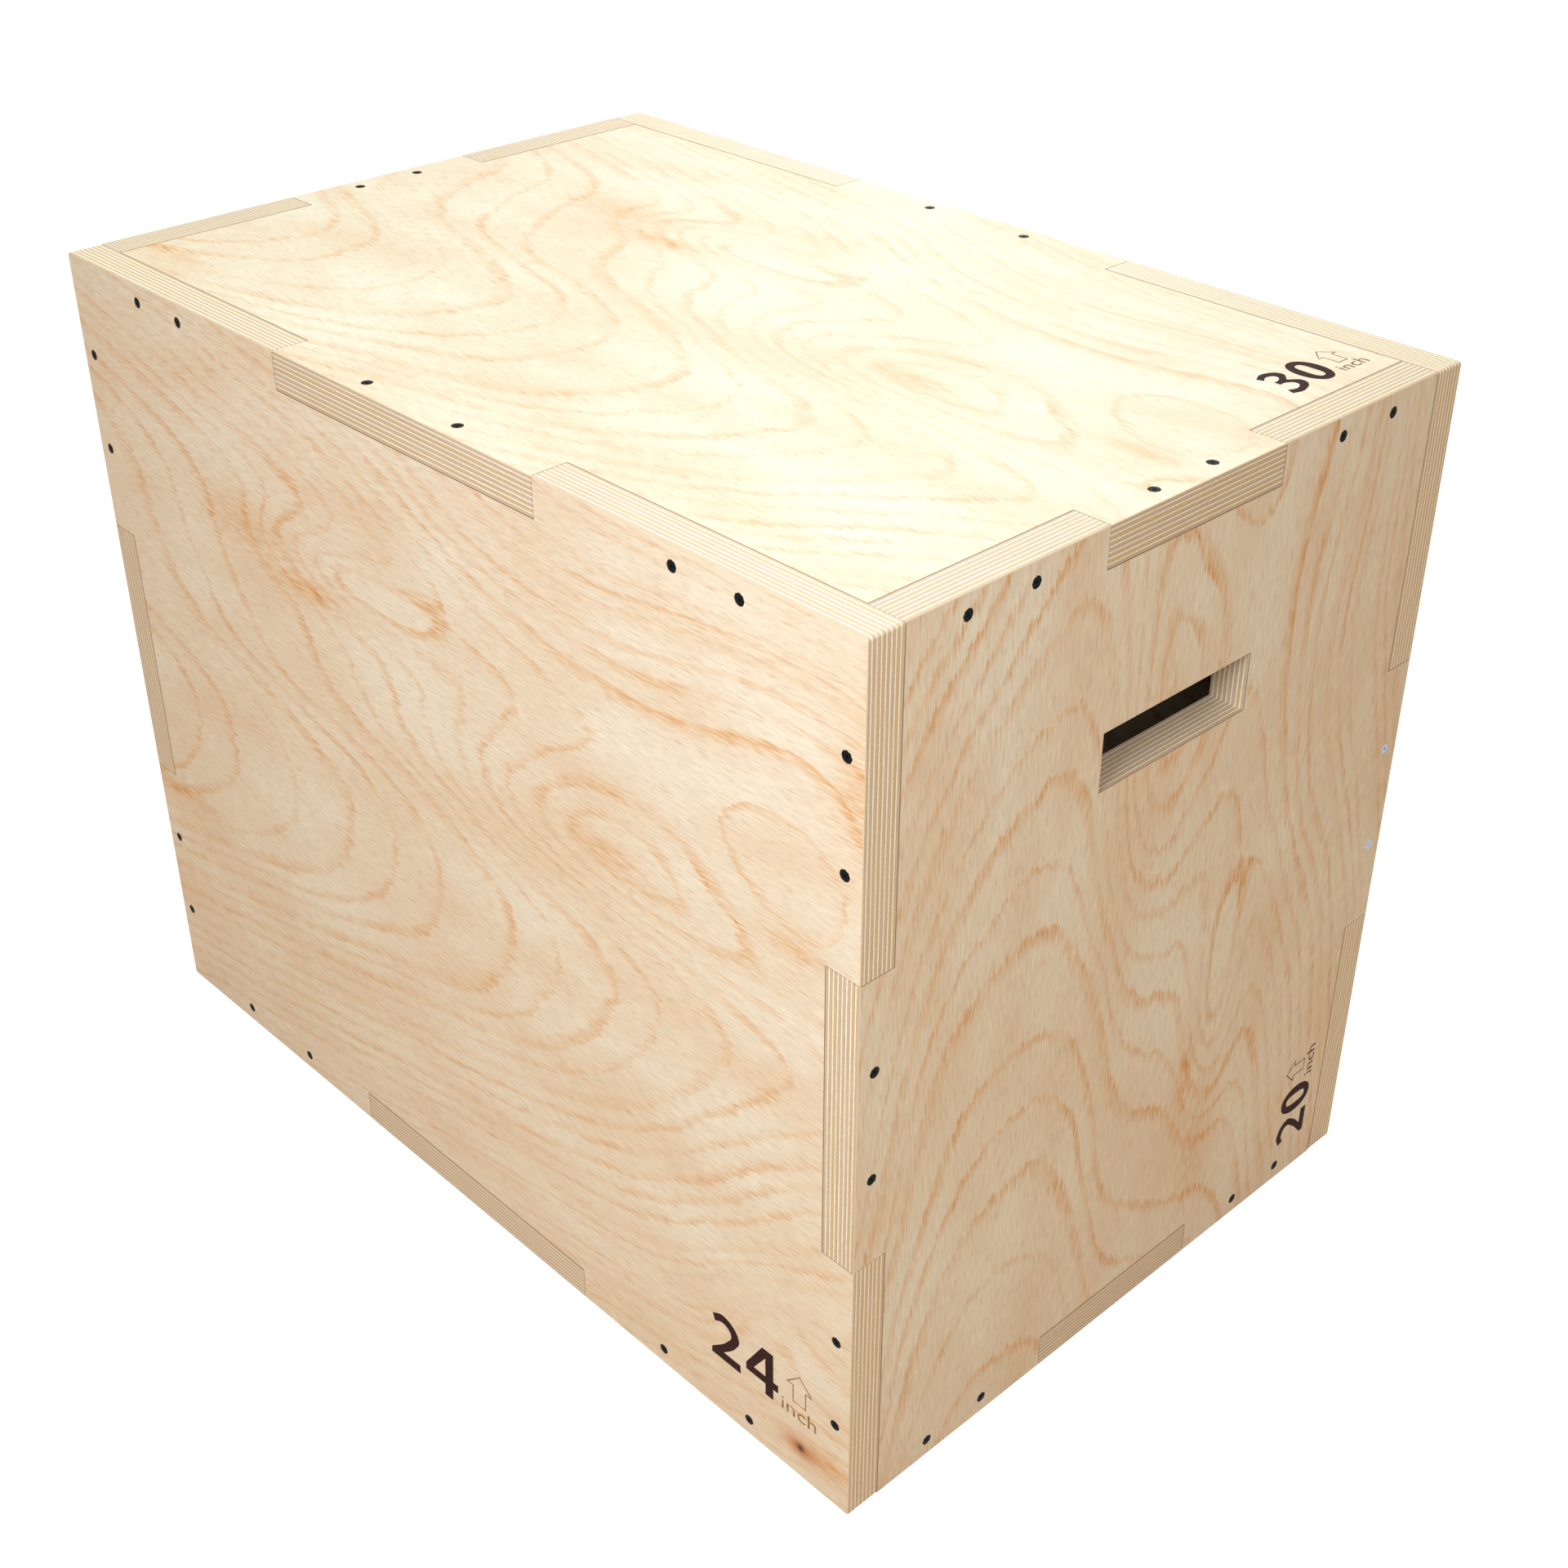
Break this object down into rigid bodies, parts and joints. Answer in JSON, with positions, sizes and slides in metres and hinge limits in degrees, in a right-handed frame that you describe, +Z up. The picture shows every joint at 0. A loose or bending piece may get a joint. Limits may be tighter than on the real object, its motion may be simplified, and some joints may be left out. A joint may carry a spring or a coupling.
{
  "type": "plyo box",
  "caption": "Plywood jump box of interlocking finger-jointed panels with countersunk screws and hand slots; it stands on any face for a choice of heights.",
  "frame": {"origin": "middle of the underside, as the box stands at its 24 in height", "axes": "+Z up, +X along the 30 in length to the right side, +Y along the 20 in depth to the back; the front panel faces -Y"},
  "size_m": [0.762, 0.508, 0.6096],
  "materials": {
    "birch_plywood": "bare sanded birch plywood",
    "black_screw": "black phosphated steel"
  },
  "bodies": {
    "root": {"front_panel": "birch_plywood", "back_panel": "birch_plywood", "right_side_panel": "birch_plywood", "left_side_panel": "birch_plywood", "top_panel": "birch_plywood", "bottom_panel": "birch_plywood", "front_top_screws": "black_screw", "front_bottom_screws": "black_screw", "front_left_screws": "black_screw", "front_right_screws": "black_screw", "back_top_screws": "black_screw", "back_bottom_screws": "black_screw", "back_left_screws": "black_screw", "back_right_screws": "black_screw", "left_top_screws": "black_screw", "left_bottom_screws": "black_screw", "left_front_screws": "black_screw", "left_back_screws": "black_screw", "right_top_screws": "black_screw", "right_bottom_screws": "black_screw", "right_front_screws": "black_screw", "right_back_screws": "black_screw", "top_front_screws": "black_screw", "top_back_screws": "black_screw", "top_left_screws": "black_screw", "top_right_screws": "black_screw", "bottom_front_screws": "black_screw", "bottom_back_screws": "black_screw", "bottom_left_screws": "black_screw", "bottom_right_screws": "black_screw"}
  },
  "joints": []
}
